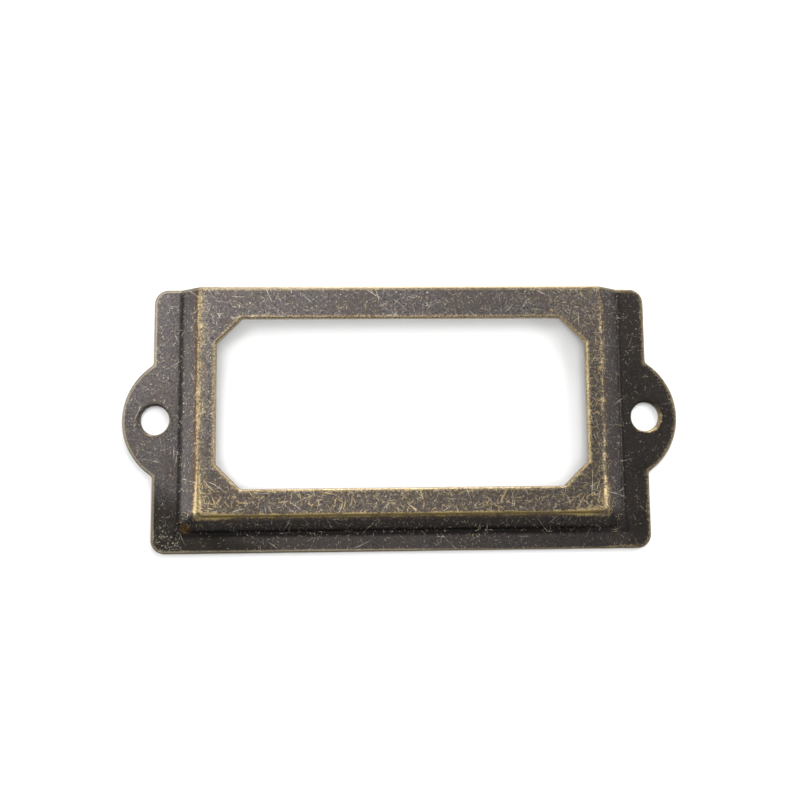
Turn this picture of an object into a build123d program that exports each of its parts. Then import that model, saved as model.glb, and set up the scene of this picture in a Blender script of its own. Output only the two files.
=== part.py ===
from build123d import *

import os
from math import atan2, tan

# Label holder for a drawer front, pressed from one sheet of metal.
# A flat flange on three sides lies on the drawer. A sloping step lifts the face off it, so that
# a card slides in behind the face from the open top edge and shows through the window.
# A rounded ear with a screw hole stands out of the flange at each end.
#
# Frame, in millimetres: the back of the flange lies in z = 0, the face looks along +Z, X runs
# along the length, and the open edge, where the card goes in, is at +Y. The origin is at the
# middle of the length and height.

# Overall sizes
OVERALL_LENGTH = 70.0    # ear tip to ear tip
HEIGHT = 33.0            # bottom of the flange to the open top edge

# Sheet
SHEET = 0.7              # thickness
BEND_RADIUS = 0.3        # inside radius of each bend
EDGE_ROLL = 0.25         # radius that punching leaves on the front edges

# Widths along the length, from an ear's tip to the window, which takes the rest: 46 mm
EAR_REACH = 3.8          # how far an ear stands out of the flange
SIDE_FLANGE = 3.45
SIDE_RAMP = 2.8          # plan width of the sloping step
SIDE_BAR = 1.95          # flat face beside the window

# Widths down the height, from the open edge, where the window takes the rest: 21 mm
TOP_BAR = 4.05
BOTTOM_BAR = 3.1
BOTTOM_RAMP = 2.2
BOTTOM_FLANGE = 2.65

# Step
RISE = 1.8               # height of the face over the flange
CREST_CORNER = 0.6       # plan radius of the step's corners at the face
VALLEY_CORNER = 1.5      # plan radius of the step's corners at the flange

# Corners, ears and holes
FLANGE_CORNER = 1.8
EAR_RADIUS = 8.3
EAR_NECK = 0.6           # inside radius where an ear leaves the flange
HOLE_DIAMETER = 3.7
HOLE_SETBACK = 4.0       # ear tip to hole centre, which puts the holes 62 mm apart
WINDOW_CHAMFER = 3.1     # leg of the window's cut corners
WINDOW_CORNER = 0.4      # radius that softens them

# Places that follow
TOP_EDGE = HEIGHT / 2
BOTTOM_EDGE = -HEIGHT / 2
EAR_X = OVERALL_LENGTH / 2 - EAR_RADIUS
HOLE_X = OVERALL_LENGTH / 2 - HOLE_SETBACK
FLANGE_X = OVERALL_LENGTH / 2 - EAR_REACH
VALLEY_X = FLANGE_X - SIDE_FLANGE
CREST_X = VALLEY_X - SIDE_RAMP
WINDOW_X = CREST_X - SIDE_BAR
VALLEY_Y = BOTTOM_EDGE + BOTTOM_FLANGE
CREST_Y = VALLEY_Y + BOTTOM_RAMP
WINDOW_BOTTOM = CREST_Y + BOTTOM_BAR
WINDOW_TOP = TOP_EDGE - TOP_BAR
FACE_LEVEL = SHEET + RISE
OUTER_BEND = BEND_RADIUS + SHEET

# Offset of the back of the sheet from its front, in plan, where the step slopes
SIDE_OFFSET = SHEET * tan(atan2(RISE, SIDE_RAMP) / 2)
BOTTOM_OFFSET = SHEET * tan(atan2(RISE, BOTTOM_RAMP) / 2)
BACK_VALLEY_X = VALLEY_X - SIDE_OFFSET
BACK_VALLEY_Y = VALLEY_Y + BOTTOM_OFFSET
BACK_CREST_X = CREST_X - SIDE_OFFSET
BACK_CREST_Y = CREST_Y + BOTTOM_OFFSET

NEAR = 0.01              # how close an edge lies to a line that it is chosen by


def step_outline(level, reach_x, bottom_y, corner, top_y):
    """Outline of the raised form at one level, square at the open top edge."""
    with BuildSketch(Plane.XY.offset(level)) as outline:
        with Locations((0, (top_y + bottom_y) / 2)):
            Rectangle(2 * reach_x, top_y - bottom_y)
        fillet(outline.vertices().group_by(Axis.Y)[0], corner)
    return outline.sketch


def bend_line(body, level, reach_x, bottom_y):
    """Edges of one bend, down one side, along the bottom and up the other side."""
    def lies_on_bend(edge):
        box = edge.bounding_box()
        level_with = abs(box.min.Z - level) < NEAR and abs(box.max.Z - level) < NEAR
        inside = max(-box.min.X, box.max.X) < reach_x + NEAR and box.min.Y > bottom_y - NEAR
        return level_with and inside and box.min.Y < TOP_EDGE - NEAR
    return body.edges().filter_by(lies_on_bend)


def front_outline(body):
    """Front edges of the blank, all round it, while its back is still flat."""
    def lies_on_outline(edge):
        box = edge.bounding_box()
        at_front = box.min.Z > SHEET - NEAR
        at_open_end = box.min.Y > TOP_EDGE - NEAR
        beside_step = max(-box.min.X, box.max.X) > VALLEY_X + BEND_RADIUS
        below_step = box.max.Y < VALLEY_Y - BEND_RADIUS
        return at_front and (at_open_end or beside_step or below_step)
    return body.edges().filter_by(lies_on_outline)


with BuildPart() as label_holder:
    # Flange with its two ears
    with BuildSketch() as outline:
        Rectangle(2 * FLANGE_X, HEIGHT)
        fillet(outline.vertices(), FLANGE_CORNER)
        with Locations((EAR_X, 0), (-EAR_X, 0)):
            Circle(EAR_RADIUS)
        necks = outline.vertices().filter_by(
            lambda corner: abs(abs(corner.X) - FLANGE_X) < NEAR and abs(corner.Y) < EAR_RADIUS
        )
        fillet(necks, EAR_NECK)
    extrude(amount=SHEET)

    # Front of the step, with its bends and the rolled front edge of the blank
    valley = step_outline(SHEET, VALLEY_X, VALLEY_Y, VALLEY_CORNER, TOP_EDGE)
    crest = step_outline(FACE_LEVEL, CREST_X, CREST_Y, CREST_CORNER, TOP_EDGE)
    loft([valley, crest], ruled=True)
    fillet(bend_line(label_holder, FACE_LEVEL, CREST_X, CREST_Y), OUTER_BEND)
    fillet(bend_line(label_holder, SHEET, VALLEY_X, VALLEY_Y), BEND_RADIUS)
    fillet(front_outline(label_holder), EDGE_ROLL)

    # Hollow back of the step, one sheet thickness behind its front
    back_valley = step_outline(
        0, BACK_VALLEY_X, BACK_VALLEY_Y, VALLEY_CORNER - BOTTOM_OFFSET, TOP_EDGE + SHEET
    )
    back_crest = step_outline(
        RISE, BACK_CREST_X, BACK_CREST_Y, CREST_CORNER - BOTTOM_OFFSET, TOP_EDGE + SHEET
    )
    loft([back_valley, back_crest], ruled=True, mode=Mode.SUBTRACT)
    fillet(bend_line(label_holder, 0, BACK_VALLEY_X, BACK_VALLEY_Y), OUTER_BEND)
    fillet(bend_line(label_holder, RISE, BACK_CREST_X, BACK_CREST_Y), BEND_RADIUS)

    # Window with its corners cut off
    with BuildSketch(Plane.XY.offset(FACE_LEVEL)) as window:
        with Locations((0, (WINDOW_TOP + WINDOW_BOTTOM) / 2)):
            Rectangle(2 * WINDOW_X, WINDOW_TOP - WINDOW_BOTTOM)
        chamfer(window.vertices(), WINDOW_CHAMFER)
        fillet(window.vertices(), WINDOW_CORNER)
    extrude(amount=-FACE_LEVEL, mode=Mode.SUBTRACT)
    face = label_holder.faces().sort_by(Axis.Z)[-1]
    fillet(face.inner_wires()[0].edges(), EDGE_ROLL)

    # Screw holes
    with Locations((HOLE_X, 0, SHEET), (-HOLE_X, 0, SHEET)):
        Hole(HOLE_DIAMETER / 2)
    rims = label_holder.edges().filter_by(GeomType.CIRCLE).filter_by(
        lambda edge: abs(edge.radius - HOLE_DIAMETER / 2) < NEAR and edge.center().Z > SHEET / 2
    )
    fillet(rims, EDGE_ROLL)

label_holder.part.label = "label_holder"
os.makedirs("parts", exist_ok=True)
export_step(label_holder.part, "parts/label_holder.step")
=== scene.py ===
import math

import bpy
from mathutils import Matrix, Vector


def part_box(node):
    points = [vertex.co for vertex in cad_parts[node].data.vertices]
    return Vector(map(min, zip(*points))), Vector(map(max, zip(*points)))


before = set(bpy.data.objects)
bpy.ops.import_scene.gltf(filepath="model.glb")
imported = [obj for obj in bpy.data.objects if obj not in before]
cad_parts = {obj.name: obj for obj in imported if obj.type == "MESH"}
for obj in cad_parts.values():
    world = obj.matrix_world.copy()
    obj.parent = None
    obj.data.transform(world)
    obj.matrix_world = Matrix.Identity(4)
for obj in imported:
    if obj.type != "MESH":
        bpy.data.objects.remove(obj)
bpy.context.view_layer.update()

MM = 0.001  # metres in a millimetre

# Sizes of the holder, in millimetres: the same values as its source states
EAR_RADIUS = 8.3
EAR_REACH = 3.8
SIDE_FLANGE = 3.45
SIDE_RAMP = 2.8
SIDE_BAR = 1.95
TOP_BAR = 4.05
BOTTOM_BAR = 3.1
BOTTOM_RAMP = 2.2
BOTTOM_FLANGE = 2.65
FLANGE_CORNER = 1.8
WINDOW_CHAMFER = 3.1
HOLE_DIAMETER = 3.7
HOLE_SETBACK = 4.0

# Places that follow from them and from the frame
LOW, HIGH = (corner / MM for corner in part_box("label_holder"))
TOP_EDGE = HIGH.y
FLANGE_X = HIGH.x - EAR_REACH
VALLEY_X = FLANGE_X - SIDE_FLANGE
CREST_X = VALLEY_X - SIDE_RAMP
WINDOW_X = CREST_X - SIDE_BAR
VALLEY_Y = LOW.y + BOTTOM_FLANGE
CREST_Y = VALLEY_Y + BOTTOM_RAMP
WINDOW_BOTTOM = CREST_Y + BOTTOM_BAR
WINDOW_TOP = TOP_EDGE - TOP_BAR
WINDOW_MIDDLE = (WINDOW_TOP + WINDOW_BOTTOM) / 2
WINDOW_REACH = (WINDOW_TOP - WINDOW_BOTTOM) / 2
EAR_X = HIGH.x - EAR_RADIUS
HOLE_X = HIGH.x - HOLE_SETBACK

# Colour sockets of the mix node, whose other sockets have the same names
FIRST_COLOUR = 6
SECOND_COLOUR = 7
MIXED_COLOUR = 2


class Graph:
    """The nodes of a material or world, joined by plain calls that return output sockets."""

    def __init__(self, owner):
        owner.use_nodes = True
        self.tree = owner.node_tree
        self.tree.nodes.clear()

    def node(self, kind, inputs=(), **settings):
        made = self.tree.nodes.new(kind)
        for name, value in settings.items():
            setattr(made, name, value)
        for key, value in dict(inputs).items():
            self.feed(made.inputs[key], value)
        return made

    def feed(self, socket, value):
        if isinstance(value, bpy.types.NodeSocket):
            self.tree.links.new(value, socket)
        else:
            socket.default_value = value

    def math(self, operation, first, second=0.0, third=0.0):
        values = {0: first, 1: second, 2: third}
        return self.node("ShaderNodeMath", values, operation=operation).outputs[0]

    def add(self, first, second):
        return self.math("ADD", first, second)

    def less(self, first, second):
        return self.math("SUBTRACT", first, second)

    def times(self, first, second):
        return self.math("MULTIPLY", first, second)

    def most(self, *values):
        result = values[0]
        for value in values[1:]:
            result = self.math("MAXIMUM", result, value)
        return result

    def least(self, *values):
        result = values[0]
        for value in values[1:]:
            result = self.math("MINIMUM", result, value)
        return result

    def size(self, value):
        return self.math("ABSOLUTE", value)

    def step(self, value, low, high, to_low=0.0, to_high=1.0):
        """value from low to high, smoothly mapped to to_low to to_high, and clamped."""
        made = self.node(
            "ShaderNodeMapRange",
            {"Value": value, "From Min": low, "From Max": high, "To Min": to_low, "To Max": to_high},
            interpolation_type="SMOOTHSTEP",
        )
        return made.outputs["Result"]

    def vector(self, operation, first, second=(0.0, 0.0, 0.0), third=(0.0, 0.0, 0.0)):
        values = {0: first, 1: second, 2: third}
        return self.node("ShaderNodeVectorMath", values, operation=operation).outputs[0]

    def noise(self, point, size, detail, roughness, output="Fac"):
        """Noise from 0 to 1 whose blotches are about as wide as size."""
        made = self.node(
            "ShaderNodeTexNoise",
            {"Vector": point, "Scale": 1.0 / size, "Detail": detail, "Roughness": roughness},
        )
        return made.outputs[output]

    def cells(self, point, size):
        """The random colour, the middle and the distance from it of the cell at a point."""
        made = self.node("ShaderNodeTexVoronoi", {"Vector": point, "Scale": 1.0 / size})
        return made.outputs["Color"], made.outputs["Position"], made.outputs["Distance"]

    def split(self, point):
        return self.node("ShaderNodeSeparateXYZ", {0: point}).outputs

    def blend(self, share, first, second):
        """first at share 0 and second at share 1, both colours."""
        values = {0: share, FIRST_COLOUR: first, SECOND_COLOUR: second}
        made = self.node("ShaderNodeMix", values, data_type="RGBA")
        return made.outputs[MIXED_COLOUR]


class Metal(Graph):
    """The nodes of the holder's metal, with the places in millimetres that its parts share."""

    def __init__(self, material):
        super().__init__(material)
        place = self.node("ShaderNodeTexCoord").outputs["Object"]
        scaled = {0: place, "Scale": 1 / MM}
        self.point = self.node("ShaderNodeVectorMath", scaled, operation="SCALE").outputs[0]
        self.x, self.y, _ = self.split(self.point)
        self.flat = self.vector("MULTIPLY", self.point, (1.0, 1.0, 0.0))
        self.to_crest = self.from_step(CREST_X, CREST_Y)
        self.to_valley = self.from_step(VALLEY_X, VALLEY_Y)
        self.flange = self.step(self.to_valley, *FLANGE_EDGE)
        self.face = self.step(self.to_crest, *FACE_EDGE)
        self.ragged = self.noise(self.point, *RAGGED)

    def from_step(self, reach_x, bottom_y):
        """Distance outwards from a line of the step, which is open at the top."""
        return self.most(self.less(self.size(self.x), reach_x), self.less(bottom_y, self.y))

    def from_circles(self, y, middle_x, radius):
        """Distance outside the nearer of two circles that mirror each other in x = 0."""
        along = self.less(self.size(self.x), middle_x)
        square = self.add(self.math("POWER", along, 2.0), self.math("POWER", y, 2.0))
        return self.less(self.math("SQRT", square), radius)

    def from_window(self):
        """Distance outside the window with its cut corners; below zero in the opening."""
        over_x = self.less(self.size(self.x), WINDOW_X)
        over_y = self.less(self.size(self.less(self.y, WINDOW_MIDDLE)), WINDOW_REACH)
        cut = self.add(self.add(over_x, over_y), WINDOW_CHAMFER)
        return self.most(over_x, over_y, self.times(cut, math.sqrt(0.5)))

    def from_flange(self):
        """Distance outside the flange without its ears; below zero inside it."""
        over_x = self.less(self.size(self.x), FLANGE_X - FLANGE_CORNER)
        over_y = self.less(self.size(self.y), HIGH.y - FLANGE_CORNER)
        square = self.add(
            self.math("POWER", self.most(over_x, 0.0), 2.0),
            self.math("POWER", self.most(over_y, 0.0), 2.0),
        )
        side = self.math("SQRT", square)
        inside = self.least(self.most(over_x, over_y), 0.0)
        return self.less(self.add(side, inside), FLANGE_CORNER)

    def away(self, spot):
        """Distance from a spot, seen from above."""
        measured = self.node("ShaderNodeVectorMath", {0: self.flat, 1: spot}, operation="DISTANCE")
        return measured.outputs["Value"]

    def hairs(self, cell, half_width, share, offset, crowding):
        """Short hair scratches, nearly straight, at most one to a cell, at random angles."""
        shifted = self.vector("ADD", self.flat, offset)
        colour, middle, _ = self.cells(shifted, cell)
        chance = self.split(colour)
        place = self.split(self.vector("SUBTRACT", shifted, middle))
        turn = self.times(chance[0], 2 * math.pi)
        cosine = self.math("COSINE", turn)
        sine = self.math("SINE", turn)
        along = self.add(self.times(place[0], cosine), self.times(place[1], sine))
        across = self.less(self.times(place[1], cosine), self.times(place[0], sine))
        lean = self.less(chance[1], 0.5)
        bend = self.times(self.math("POWER", lean, 3.0), HAIR_BEND / cell)
        across = self.add(across, self.times(bend, self.math("POWER", along, 2.0)))
        line = self.step(self.size(across), half_width, half_width * HAIR_CORE)
        ends = self.step(self.size(along), cell * HAIR_TIP, cell * HAIR_FULL)
        present = self.step(self.add(chance[2], crowding), 1.0 - share, HAIR_CERTAIN)
        return self.times(self.times(line, ends), present)

    def scratches(self, layers, seed, crowding):
        """Hair scratches of several sizes, one layer over another."""
        strokes = 0.0
        for order, (cell, half_width, share) in enumerate(layers):
            offset = (seed + LAYER_SHIFT_X * order, 2 * seed + LAYER_SHIFT_Y * order, 0.0)
            stroke = self.hairs(cell, half_width, share, offset, crowding)
            strokes = self.most(strokes, stroke)
        return strokes

    def specks(self, cell, radius, share, offset):
        """Round spots, at most one to a cell."""
        colour, _, distance = self.cells(self.vector("ADD", self.flat, offset), cell)
        chance = self.split(colour)
        spot = self.step(self.times(distance, cell), radius, radius * SPECK_CORE)
        return self.times(spot, self.step(chance[0], 1.0 - share, 1.0))

    def rubbed(self, distance, reach, strength, evenness=0.0, gaps=0.0):
        """Wear that is whole at distance 0, but for its gaps, and frays out to nothing at reach."""
        closeness = self.step(distance, reach, 0.0, 0.0, self.add(evenness, WEAR_CLOSENESS))
        uneven = self.times(self.less(self.ragged, 0.5), self.less(1.0, evenness))
        fray = self.less(self.add(uneven, 0.5), gaps)
        return self.times(self.step(self.add(closeness, fray), *WEAR_EDGE), strength)


# Below, places and distances are in millimetres. A fade holds where it starts and where it ends,
# then its values there, which are 0 and 1 if left out. A noise holds size, detail and roughness.

# Soft edges of the flange and the face, and the raggedness of all wear
FLANGE_EDGE = (-0.3, 0.3)
FACE_EDGE = (0.2, -0.2)
RAGGED = (0.30, 4.0, 0.85)
WEAR_CLOSENESS = 0.45    # what nearness alone gives at distance 0; the rest is the raggedness
WEAR_EDGE = (0.68, 0.98)

# Patina: fine grain, soft blotches and the polish of hands
GRAIN = (0.22, 4.0, 0.9)
GRAIN_FADE = (0.25, 0.75)
BLOTCH = (5.0, 2.0, 0.5)
WARM_FADE = (0.4, 0.65, 0.0, 0.5)
HANDLED_RIGHT = (10.0, 24.0)
HANDLED_BOTTOM = (-6.0, -9.5)
HANDLED_FADE = (8.0, 13.0, 0.27, 0.05)
PATINA_DARK = (0.012, 0.011, 0.012, 1)
PATINA_PALE = (0.170, 0.152, 0.149, 1)
PATINA_WARM = (0.078, 0.064, 0.056, 1)
HANDLED = (0.034, 0.022, 0.013, 1)


def lay_patina(metal):
    """The patina's colour, with the grain, the blotches and the handled places of it."""
    grain = metal.noise(metal.point, *GRAIN)
    blotch = metal.noise(metal.point, *BLOTCH)
    colour = metal.blend(metal.step(grain, *GRAIN_FADE), PATINA_DARK, PATINA_PALE)
    colour = metal.blend(metal.step(blotch, *WARM_FADE), colour, PATINA_WARM)
    handled = metal.most(metal.step(metal.x, *HANDLED_RIGHT), metal.step(metal.y, *HANDLED_BOTTOM))
    handled = metal.times(handled, metal.face)
    polish = metal.times(handled, metal.step(metal.y, *HANDLED_FADE))
    return metal.blend(polish, colour, HANDLED), grain, blotch, handled


# Darker patina where nothing rubs it, on parts of the flange; and painted shade on the slope of the
# step
SHELTERED_RIGHT = (VALLEY_X - 0.6, VALLEY_X + 0.6, 0.0, 0.88)
SHELTERED_BOTTOM = (VALLEY_Y + 3.0, VALLEY_Y - 0.5, 0.0, 0.70)
SHELTERED_LEAN = 0.4     # slant of the line that cuts off the sheltered bottom corner
SHELTERED_CORNER = (-18.0, -24.0)
SHELTERED_VALLEY = (2.8, 0.3, 0.0, 0.22)
SHELTERED_BLOTCH = (0.3, 0.6, 1.0, 0.85)
# Painted shade on the slope of the step: where it starts from the crest, and its strength along the
# bottom and on the right
SLOPE_START = (0.3, 0.9)
SLOPE_BOTTOM = (VALLEY_Y + 3.0, VALLEY_Y + 2.0, 0.10, 0.62)
SLOPE_RIGHT = (22.0, 26.0, 0.0, 0.30)
# Colour of the darker patina on the flange, and of the painted shade on the slope and under the right
# crest
DARK_PATINA_AND_SHADE = (0.020, 0.017, 0.014, 1)


def shade_patina(metal, colour, blotch):
    """The colour darkened by patina where the flange is sheltered and by painted shade on the slope
    of the step, and where on the flange that is.
    """
    sheltered = metal.most(
        metal.step(metal.x, *SHELTERED_RIGHT),
        metal.step(metal.y, *SHELTERED_BOTTOM),
        metal.step(metal.add(metal.y, metal.times(metal.x, SHELTERED_LEAN)), *SHELTERED_CORNER),
        metal.step(metal.to_valley, *SHELTERED_VALLEY),
    )
    sheltered = metal.times(sheltered, metal.step(blotch, *SHELTERED_BLOTCH))
    sheltered = metal.times(sheltered, metal.flange)
    # Painted shade: the slope of the step darker, most along the bottom and a little on the right
    slope = metal.times(metal.less(1.0, metal.flange), metal.step(metal.to_crest, *SLOPE_START))
    depth = metal.most(metal.step(metal.y, *SLOPE_BOTTOM), metal.step(metal.x, *SLOPE_RIGHT))
    slope = metal.times(slope, depth)
    return metal.blend(metal.most(sheltered, slope), colour, DARK_PATINA_AND_SHADE), sheltered


# Dark line in the valley, which is wider and lies farther out along the bottom
LINE_TURN = (VALLEY_Y + 1.5, VALLEY_Y)
LINE_WIDTHS = (0.50, 0.72)
LINE_SIDES = (-1.0, 1.0, -0.05, 0.05)
LINE_BOTTOM = 0.20
LINE_EDGE = (1.0, 0.3)
LINE_RIGHT = (20.0, 27.0, 0.92, 0.55)
LINE_LEFT = (-24.0, -26.5)
LINE_LEFT_STRENGTH = 0.74
RECESS = (0.008, 0.007, 0.007, 1)


def draw_valley(metal, colour):
    """The dark line where the slope of the step meets the flange."""
    width = metal.step(metal.y, *LINE_TURN, *LINE_WIDTHS)
    side = metal.step(metal.x, *LINE_SIDES)
    middle = metal.step(metal.y, *LINE_TURN, side, LINE_BOTTOM)
    line = metal.math("DIVIDE", metal.size(metal.less(metal.to_valley, middle)), width)
    right = metal.step(metal.x, *LINE_RIGHT)
    strength = metal.step(metal.x, *LINE_LEFT, right, LINE_LEFT_STRENGTH)
    return metal.blend(metal.step(line, *LINE_EDGE, 0.0, strength), colour, RECESS)


# Small differences of hue
TINT = (0.35, 2.0, 0.6)
TINT_SPREAD = (0.50, 0.50, 0.50)
TINT_BASE = (0.75, 0.75, 0.75)


def vary_hue(metal, colour):
    """The colour with small differences of hue from grain to grain."""
    hues = metal.noise(metal.point, *TINT, output="Color")
    hues = metal.vector("MULTIPLY_ADD", hues, TINT_SPREAD, TINT_BASE)
    return metal.vector("MULTIPLY", colour, hues)


# Rust: a line below the bend of the face, and a spot at the foot of one corner
RUST_MIDDLE = 0.45
RUST_EDGE = (0.38, 0.10)
RUST_GAPS = (0.36, 0.56)
RUST_LEFT = (-20.0, -25.0, 0.5, 0.9)
RUST_SPOT = (-26.8, -13.3, 0.0)
RUST_SPOT_EDGE = (0.9, 0.2, 0.0, 0.7)
RUST = (0.095, 0.042, 0.012, 1)
FRESH_RUST = (0.17, 0.080, 0.014, 1)


def rust(metal, colour):
    """The colour with rust below the bend of the face and in one spot."""
    line = metal.step(metal.size(metal.less(metal.to_crest, RUST_MIDDLE)), *RUST_EDGE)
    line = metal.times(line, metal.step(metal.ragged, *RUST_GAPS))
    line = metal.times(line, metal.step(metal.x, *RUST_LEFT))
    spot = metal.add(metal.away(RUST_SPOT), metal.less(0.5, metal.ragged))
    spot = metal.step(spot, *RUST_SPOT_EDGE)
    colour = metal.blend(line, colour, RUST)
    return metal.blend(spot, colour, FRESH_RUST)


# Crowding of the scratches, which is added to the chance that a cell has one
CLOUD = (1.2, 3.0, 0.6)
CLOUD_CROWDING = (0.3, 0.7, -0.34, 0.24)
SHELTERED_CROWDING = -0.26
FLANGE_CROWDING = -0.08
HANDLED_CROWDING = 0.13
CORNERED_FADE = (6.0, 0.5)
CORNERED_SHARE = 2.5     # weight of the face's bottom corners beside the handled places
GOLD_SPARSER = (0.0, 1.0, 0.28, -0.05)    # taken off for gold ones, unhandled and handled
CHAFED_SPOT = (-29.6, -15.0, 0.0)
CHAFED_FADE = (3.4, 0.8)
CHAFED_CROWDING = 0.35


def crowd(metal, handled, sheltered):
    """Crowding of all scratches and of the gold ones, and where corners and a chafed spot lie."""
    cloud = metal.noise(metal.point, *CLOUD)
    corner = metal.from_circles(metal.less(metal.y, CREST_Y), CREST_X, 0.0)
    cornered = metal.step(corner, *CORNERED_FADE)
    crowding = metal.step(cloud, *CLOUD_CROWDING)
    flange = metal.times(sheltered, SHELTERED_CROWDING)
    flange = metal.add(flange, metal.times(metal.flange, FLANGE_CROWDING))
    crowding = metal.add(crowding, flange)
    face = metal.times(metal.times(cornered, metal.face), CORNERED_SHARE)
    face = metal.times(metal.add(handled, face), HANDLED_CROWDING)
    crowding = metal.add(crowding, face)
    gold_crowding = metal.less(crowding, metal.step(handled, *GOLD_SPARSER))
    chafed = metal.step(metal.away(CHAFED_SPOT), *CHAFED_FADE)
    crowding = metal.add(crowding, metal.times(chafed, CHAFED_CROWDING))
    return crowding, gold_crowding, cornered, chafed


# Hair scratches: the cell in millimetres, half the width, and the share of cells that have one
FINE_SCRATCHES = (
    (0.8, 0.055, 0.70),
    (0.5, 0.055, 0.75),
)
GOLD_SCRATCHES = (
    (2.9, 0.075, 0.40),
    (2.1, 0.075, 0.50),
    (1.6, 0.075, 0.55),
    (1.1, 0.070, 0.60),
    (0.8, 0.065, 0.60),
)
PALE_SCRATCHES = (
    (4.6, 0.065, 0.60),
    (3.2, 0.060, 0.65),
    (2.2, 0.055, 0.60),
)
FINE_SEED = 83.9
GOLD_SEED = 41.7
PALE_SEED = 3.1
LAYER_SHIFT_X = 11.3     # from layer to layer, so that none repeats another
LAYER_SHIFT_Y = 17.9
HAIR_BEND = 2.0          # how strongly the most bent ones bow
HAIR_CORE = 0.2          # share of the width at full strength
HAIR_TIP = 0.48          # half of the length, as a share of the cell
HAIR_FULL = 0.12         # half of the length at full strength, likewise
HAIR_CERTAIN = 1.35      # chance and crowding together that give full strength
FINE_STRENGTH = 0.65
GOLD_STRENGTH = 0.75
PALE_STRENGTH = 0.72
VEIL = (0.45, 0.70, 0.0, 0.14)
STRAW = (0.62, 0.53, 0.38, 1)
GOLD = (0.62, 0.46, 0.20, 1)
CREAM = (0.72, 0.66, 0.52, 1)


def scratch(metal, colour, handled, crowding, gold_crowding):
    """The colour with a gold veil where it is handled and with hair scratches, and the strokes."""
    veil = metal.times(handled, metal.step(metal.ragged, *VEIL))
    colour = metal.blend(veil, colour, GOLD)
    fine = metal.scratches(FINE_SCRATCHES, FINE_SEED, crowding)
    colour = metal.blend(metal.times(fine, FINE_STRENGTH), colour, STRAW)
    gold = metal.scratches(GOLD_SCRATCHES, GOLD_SEED, gold_crowding)
    colour = metal.blend(metal.times(gold, GOLD_STRENGTH), colour, GOLD)
    pale = metal.scratches(PALE_SCRATCHES, PALE_SEED, crowding)
    colour = metal.blend(metal.times(pale, PALE_STRENGTH), colour, CREAM)
    return colour, (pale, gold, fine)


# Specks: the cell in millimetres, the radius, the share of cells that have one, and the offset
LARGE_SPECKS = (1.5, 0.14, 0.30, (61.3, 12.1, 0.0))
SMALL_SPECKS = (0.7, 0.10, 0.30, (71.3, 22.1, 0.0))
DUST = (0.35, 0.10, 0.35, (81.3, 32.1, 0.0))
DUST_STRENGTH = 0.5
SPECK_CORE = 0.4         # share of the radius at full strength
SWARM = (2.5, 2.0, 0.5)
SWARM_FADE = (0.40, 0.62, 0.35, 0.95)
SWARM_SHELTERED = (0.0, 1.0, 1.0, 0.40)
CHAFED_PATCHES = (0.56, 0.70, 0.0, 0.75)


def speckle(metal, colour, sheltered, chafed):
    """The colour with pale specks that swarm in places, and with its chafed spot."""
    spot = metal.most(
        metal.specks(*LARGE_SPECKS),
        metal.specks(*SMALL_SPECKS),
        metal.times(metal.specks(*DUST), DUST_STRENGTH),
    )
    swarm = metal.step(metal.noise(metal.point, *SWARM), *SWARM_FADE)
    swarm = metal.times(swarm, metal.step(sheltered, *SWARM_SHELTERED))
    colour = metal.blend(metal.times(spot, swarm), colour, CREAM)
    chafed = metal.times(metal.times(chafed, metal.flange), metal.step(metal.ragged, *CHAFED_PATCHES))
    return metal.blend(chafed, colour, CREAM)


# Wear of the crest, the bend between the face and the slope
CREST_GAPS_RIGHT = 0.13
CREST_GAPS_PATCHES = 0.12
CREST_STRENGTH = 0.95
CREST_STRENGTH_RIGHT = (0.0, 1.0, 1.0, 0.80)
CREST_REACH = (0.0, 1.0, 0.64, 0.70)
CREST_REACH_RIGHT = 1.0
CREST_REACH_CORNER = 0.6
CREST_MIDDLE = (0.0, 1.0, 0.08, 0.05)
CREST_EVENNESS = (0.0, 1.0, 0.08, 0.0)
CREST_EVENNESS_CORNER = 0.16
CREST_SHADE = (0.40, 0.12, 0.0, 0.55)


def wear_crest(metal, colour, at_left, at_right, patches, cornered):
    """The colour shaded under the right crest, and the wear of the crest."""
    gaps = metal.add(
        metal.times(at_right, CREST_GAPS_RIGHT), metal.times(patches, CREST_GAPS_PATCHES)
    )
    strength = metal.least(CREST_STRENGTH, metal.step(at_right, *CREST_STRENGTH_RIGHT))
    reach = metal.add(metal.step(at_left, *CREST_REACH), metal.times(at_right, CREST_REACH_RIGHT))
    reach = metal.add(reach, metal.times(cornered, CREST_REACH_CORNER))
    middle = metal.step(metal.most(at_left, at_right), *CREST_MIDDLE)
    line = metal.size(metal.less(metal.to_crest, middle))
    evenness = metal.step(metal.most(at_left, at_right), *CREST_EVENNESS)
    evenness = metal.add(evenness, metal.times(cornered, CREST_EVENNESS_CORNER))
    crest = metal.rubbed(line, reach, strength, evenness, gaps)
    shade = metal.times(at_right, metal.step(line, *CREST_SHADE))
    return metal.blend(shade, colour, DARK_PATINA_AND_SHADE), crest


# Wear of the window's rim, the top edge and the rims of the screw holes
RIM_REACH = 0.90
RIM_STRENGTH = (20.0, 23.0, 0.50, 0.75)
TOP_REACH = 0.95
TOP_STRENGTH = (0.6, 0.0, 0.0, 0.31)
TOP_EVENNESS = 0.3
HOLE_REACH = 0.60
HOLE_SLANT = (-1.0, 2.5)
HOLE_WEAKEST = 0.05
HOLE_STRONGEST = (-1.0, 1.0, 0.35, 0.65)
HOLE_SHADE = (0.50, 0.15, 0.0, 0.55)


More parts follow.
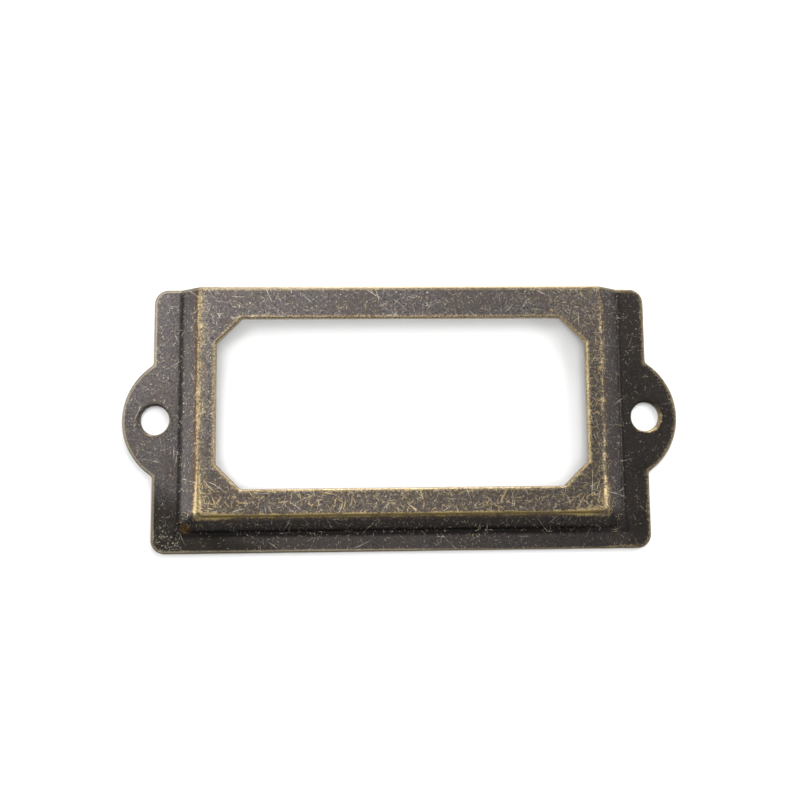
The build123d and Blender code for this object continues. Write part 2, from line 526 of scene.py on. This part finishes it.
def wear_edges(metal, colour):
    """The colour shaded round the holes, and the wear of the rim, the top edge and the holes."""
    rim = metal.rubbed(metal.from_window(), RIM_REACH, metal.step(metal.x, *RIM_STRENGTH))
    top_strength = metal.step(metal.to_crest, *TOP_STRENGTH)
    top = metal.rubbed(metal.less(TOP_EDGE, metal.y), TOP_REACH, top_strength, TOP_EVENNESS)
    rightward = metal.less(metal.size(metal.x), HOLE_X)
    rightward = metal.times(rightward, metal.math("SIGN", metal.x))
    slant = metal.less(rightward, metal.y)
    strongest = metal.step(metal.x, *HOLE_STRONGEST)
    strength = metal.step(slant, *HOLE_SLANT, HOLE_WEAKEST, strongest)
    distance = metal.from_circles(metal.y, HOLE_X, HOLE_DIAMETER / 2)
    colour = metal.blend(metal.step(distance, *HOLE_SHADE), colour, RECESS)
    hole = metal.rubbed(distance, HOLE_REACH, strength)
    return colour, rim, top, hole


# Thin wear of the face beside the left crest
HALO_FADE = (-1.6, 0.0, 0.0, 0.16)
HALO_PATCHES = (1.0, 0.0, 0.4, 1.7)
HALO_FRAY = (0.4, 0.65, 0.4, 2.0)


def wear_face(metal, at_left, patches):
    """The wear of the face beside the left crest."""
    near_left = metal.times(at_left, metal.face)
    halo = metal.times(near_left, metal.step(metal.to_crest, *HALO_FADE))
    fray = metal.times(metal.step(patches, *HALO_PATCHES), metal.step(metal.ragged, *HALO_FRAY))
    return metal.times(halo, fray)


# Brass that wear lays bare, olive on the crest along the bottom, and gold there as a painted glint
# along the middle of the bend
FLECK = (0.22, 3.0, 0.8)
FLECK_FADE = (0.40, 0.60)
OLIVE_FADE = (-0.30, 0.15)
OLIVE_FLECKS = (1.0, 0.0, 0.5, 1.0)
# Painted glint: how near the middle of the bottom bend the brass turns gold
GLINT_FADE = (0.28, 0.06, 0.0, 0.8)
OLD_BRASS_RIGHT = 0.25
OLD_BRASS = (0.27, 0.19, 0.085, 1)
BRASS = (0.66, 0.53, 0.30, 1)
OLIVE = (0.38, 0.28, 0.08, 1)


def bare_brass(metal, at_left, at_right, crest):
    """The colour of the brass that wear lays bare on the bends and edges, with a painted gold glint
    along the middle of the bottom crest.
    """
    fleck = metal.step(metal.noise(metal.point, *FLECK), *FLECK_FADE)
    brass = metal.blend(fleck, OLD_BRASS, BRASS)
    between = metal.times(metal.less(1.0, at_left), metal.less(1.0, at_right))
    # Painted glint: brighter gold along the middle of the bottom crest's bend
    bend = metal.times(between, metal.step(metal.size(metal.to_crest), *GLINT_FADE))
    olive = metal.times(between, metal.step(metal.to_crest, *OLIVE_FADE))
    olive = metal.times(olive, metal.step(fleck, *OLIVE_FLECKS))
    brass = metal.blend(olive, brass, OLIVE)
    brass = metal.blend(bend, brass, GOLD)
    old = metal.times(metal.times(at_right, crest), OLD_BRASS_RIGHT)
    return metal.blend(old, brass, OLD_BRASS)


# Wear of the outline
OUTLINE_LEFT = (-25.0, -28.5, 0.27, 0.38)
OUTLINE_RIGHT = (24.0, 28.0)
OUTLINE_RIGHT_STRENGTH = (1.0, 0.30)
OUTLINE_RIGHT_REACH = 1.1
OUTLINE_RIGHT_EVENNESS = (0.30, 0.0)
OUTLINE_REACH = (0.0, 1.0, 0.75, 0.45)
RIGHTWARDS = (-16.0, 16.0)
PALE_BRASS = (0.50, 0.43, 0.29, 1)


def wear_outline(metal, colour):
    """The colour with brass along the outline, and the wear there."""
    to_outline = metal.least(
        metal.from_flange(), metal.from_circles(metal.y, EAR_X, EAR_RADIUS)
    )
    strength = metal.least(
        metal.step(metal.x, *OUTLINE_LEFT),
        metal.step(metal.x, *OUTLINE_RIGHT, *OUTLINE_RIGHT_STRENGTH),
    )
    rightwards = metal.step(metal.x, *RIGHTWARDS)
    reach = metal.step(rightwards, *OUTLINE_REACH)
    reach = metal.step(metal.x, *OUTLINE_RIGHT, reach, OUTLINE_RIGHT_REACH)
    inwards = metal.times(to_outline, -1.0)
    evenness = metal.step(metal.x, *OUTLINE_RIGHT, *OUTLINE_RIGHT_EVENNESS)
    outer = metal.rubbed(inwards, reach, strength, evenness)
    return metal.blend(outer, colour, metal.blend(rightwards, PALE_BRASS, BRASS)), outer


# The two ends of the holder, patches along the crest, and the finish of the metal
AT_LEFT = (-22.0, -25.0)
AT_RIGHT = (22.0, 25.0)
PATCHES = (1.6, 3.0, 0.6)
PATCHES_FADE = (0.62, 0.40)
SCRATCH_BARENESS = 0.5
ROUGHNESS = (0.0, 1.0, 0.42, 0.36)
GRAIN_DEPTH = 0.01
GRAIN_STRENGTH = 0.4


def antique_bronze(name):
    """Dark bronze patina, rubbed back to brass on the bends and edges, with hair scratches."""
    material = bpy.data.materials.new(name)
    metal = Metal(material)
    colour, grain, blotch, handled = lay_patina(metal)
    colour, sheltered = shade_patina(metal, colour, blotch)
    colour = draw_valley(metal, colour)
    colour = vary_hue(metal, colour)
    colour = rust(metal, colour)
    crowding, gold_crowding, cornered, chafed = crowd(metal, handled, sheltered)
    colour, strokes = scratch(metal, colour, handled, crowding, gold_crowding)
    colour = speckle(metal, colour, sheltered, chafed)
    scratched = metal.most(*strokes)
    at_left = metal.step(metal.x, *AT_LEFT)
    at_right = metal.step(metal.x, *AT_RIGHT)
    patches = metal.step(metal.noise(metal.point, *PATCHES), *PATCHES_FADE)
    colour, crest = wear_crest(metal, colour, at_left, at_right, patches, cornered)
    colour, rim, top, hole = wear_edges(metal, colour)
    halo = wear_face(metal, at_left, patches)
    wear = metal.most(crest, rim, top, hole, halo)
    colour = metal.blend(wear, colour, bare_brass(metal, at_left, at_right, crest))
    colour, outer = wear_outline(metal, colour)
    bare = metal.most(wear, outer, metal.times(scratched, SCRATCH_BARENESS))
    bump = metal.node(
        "ShaderNodeBump", {"Strength": GRAIN_STRENGTH, "Distance": GRAIN_DEPTH * MM, "Height": grain}
    )
    shader = metal.node(
        "ShaderNodeBsdfPrincipled",
        {
            "Base Color": colour,
            "Metallic": 1.0,
            "Roughness": metal.step(bare, *ROUGHNESS),
            "Normal": bump.outputs["Normal"],
        },
    )
    metal.node("ShaderNodeOutputMaterial", {"Surface": shader.outputs["BSDF"]})
    return material


FLOOR_REACH = 0.45       # metres, half of the floor's side
FLOOR_DROP = 0.00002     # metres below the holder, so that the two never flicker
FLOOR_COLOUR = (0.93, 0.93, 0.93, 1)
FLOOR_ROUGHNESS = 0.9


def white_floor():
    """A matte white sheet under the holder, wide enough to reach past every view."""
    material = bpy.data.materials.new("white_floor")
    graph = Graph(material)
    shader = graph.node(
        "ShaderNodeBsdfPrincipled", {"Base Color": FLOOR_COLOUR, "Roughness": FLOOR_ROUGHNESS}
    )
    graph.node("ShaderNodeOutputMaterial", {"Surface": shader.outputs["BSDF"]})
    mesh = bpy.data.meshes.new("floor")
    corners = [
        (-FLOOR_REACH, -FLOOR_REACH, 0),
        (FLOOR_REACH, -FLOOR_REACH, 0),
        (FLOOR_REACH, FLOOR_REACH, 0),
        (-FLOOR_REACH, FLOOR_REACH, 0),
    ]
    mesh.from_pydata(corners, [], [(0, 1, 2, 3)])
    mesh.materials.append(material)
    floor = bpy.data.objects.new("floor", mesh)
    bpy.context.scene.collection.objects.link(floor)
    floor.location.z = -FLOOR_DROP


# Soft lights round the holder: place in metres, side in metres, power in watts
SOFTBOXES = {
    "back_light": ((0.0, 0.58, 0.16), 0.30, 3.7),
    "right_back_light": ((0.32, 0.32, 0.32), 0.26, 1.28),
    "right_light": ((0.45, 0.0, 0.32), 0.26, 1.07),
    "left_light": ((-0.58, 0.0, 0.16), 0.30, 0.86),
    "upper_left_light": ((-0.223, 0.129, 0.429), 0.26, 0.80),
    "upper_back_light": ((0.0, 0.25, 0.43), 0.26, 0.58),
    "upper_front_light": ((0.0, -0.15, 0.47), 0.26, 0.63),
}
SURROUNDINGS = 0.05          # brightness of the room overhead
BACKDROP = 0.85              # brightness of the paper behind the holder, low in the room
BACKDROP_TOP = (0.08, 0.26)  # sines of the heights where the paper starts to fade and ends


def softbox(name, place, side, power):
    """A square soft light at place that looks at the holder."""
    light = bpy.data.lights.new(name, "AREA")
    light.shape = "SQUARE"
    light.size = side
    light.energy = power
    lamp = bpy.data.objects.new(name, light)
    lamp.location = place
    lamp.rotation_euler = (-Vector(place)).to_track_quat("-Z", "Y").to_euler()
    bpy.context.scene.collection.objects.link(lamp)


def studio():
    """Soft lights, a pale paper backdrop all round and a dim room overhead."""
    world = bpy.data.worlds.new("studio")
    graph = Graph(world)
    way = graph.split(graph.node("ShaderNodeTexCoord").outputs["Generated"])
    strength = graph.step(way[2], *BACKDROP_TOP, BACKDROP, SURROUNDINGS)
    background = graph.node(
        "ShaderNodeBackground", {"Color": (1.0, 1.0, 1.0, 1), "Strength": strength}
    )
    graph.node("ShaderNodeOutputWorld", {"Surface": background.outputs["Background"]})
    bpy.context.scene.world = world
    for name, (place, side, power) in SOFTBOXES.items():
        softbox(name, place, side, power)
    bpy.context.scene.view_settings.view_transform = "Standard"


# Camera, fitted to the photograph by the holder's real sizes
FRAME_PIXELS = 800
SENSOR_MM = 36.0
FOCAL_PIXELS = 629.76
CAMERA_DISTANCE = 80.0            # millimetres
TILT = (-4.220, 1.602, 0.394)     # degrees about X, Y and Z
CAMERA_SHIFT = (0.290, -2.383)    # millimetres, across and up in the picture
CLIP = (0.001, 10.0)              # metres


def photograph_camera():
    """The camera at the photograph's angle, almost straight overhead."""
    turn = (
        Matrix.Rotation(math.radians(TILT[2]), 3, "Z")
        @ Matrix.Rotation(math.radians(TILT[1]), 3, "Y")
        @ Matrix.Rotation(math.radians(TILT[0]), 3, "X")
    ).transposed()
    data = bpy.data.cameras.new("camera")
    data.sensor_width = SENSOR_MM
    data.lens = FOCAL_PIXELS / FRAME_PIXELS * SENSOR_MM
    data.clip_start, data.clip_end = CLIP
    camera = bpy.data.objects.new("camera", data)
    bpy.context.scene.collection.objects.link(camera)
    place = turn @ Vector((-CAMERA_SHIFT[0], -CAMERA_SHIFT[1], CAMERA_DISTANCE)) * MM
    camera.matrix_world = Matrix.Translation(place) @ turn.to_4x4()
    bpy.context.scene.camera = camera


def dress():
    """Gives the holder its one material."""
    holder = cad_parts["label_holder"]
    holder.data.materials.clear()
    holder.data.materials.append(antique_bronze("antique_bronze"))


dress()
white_floor()
studio()
photograph_camera()
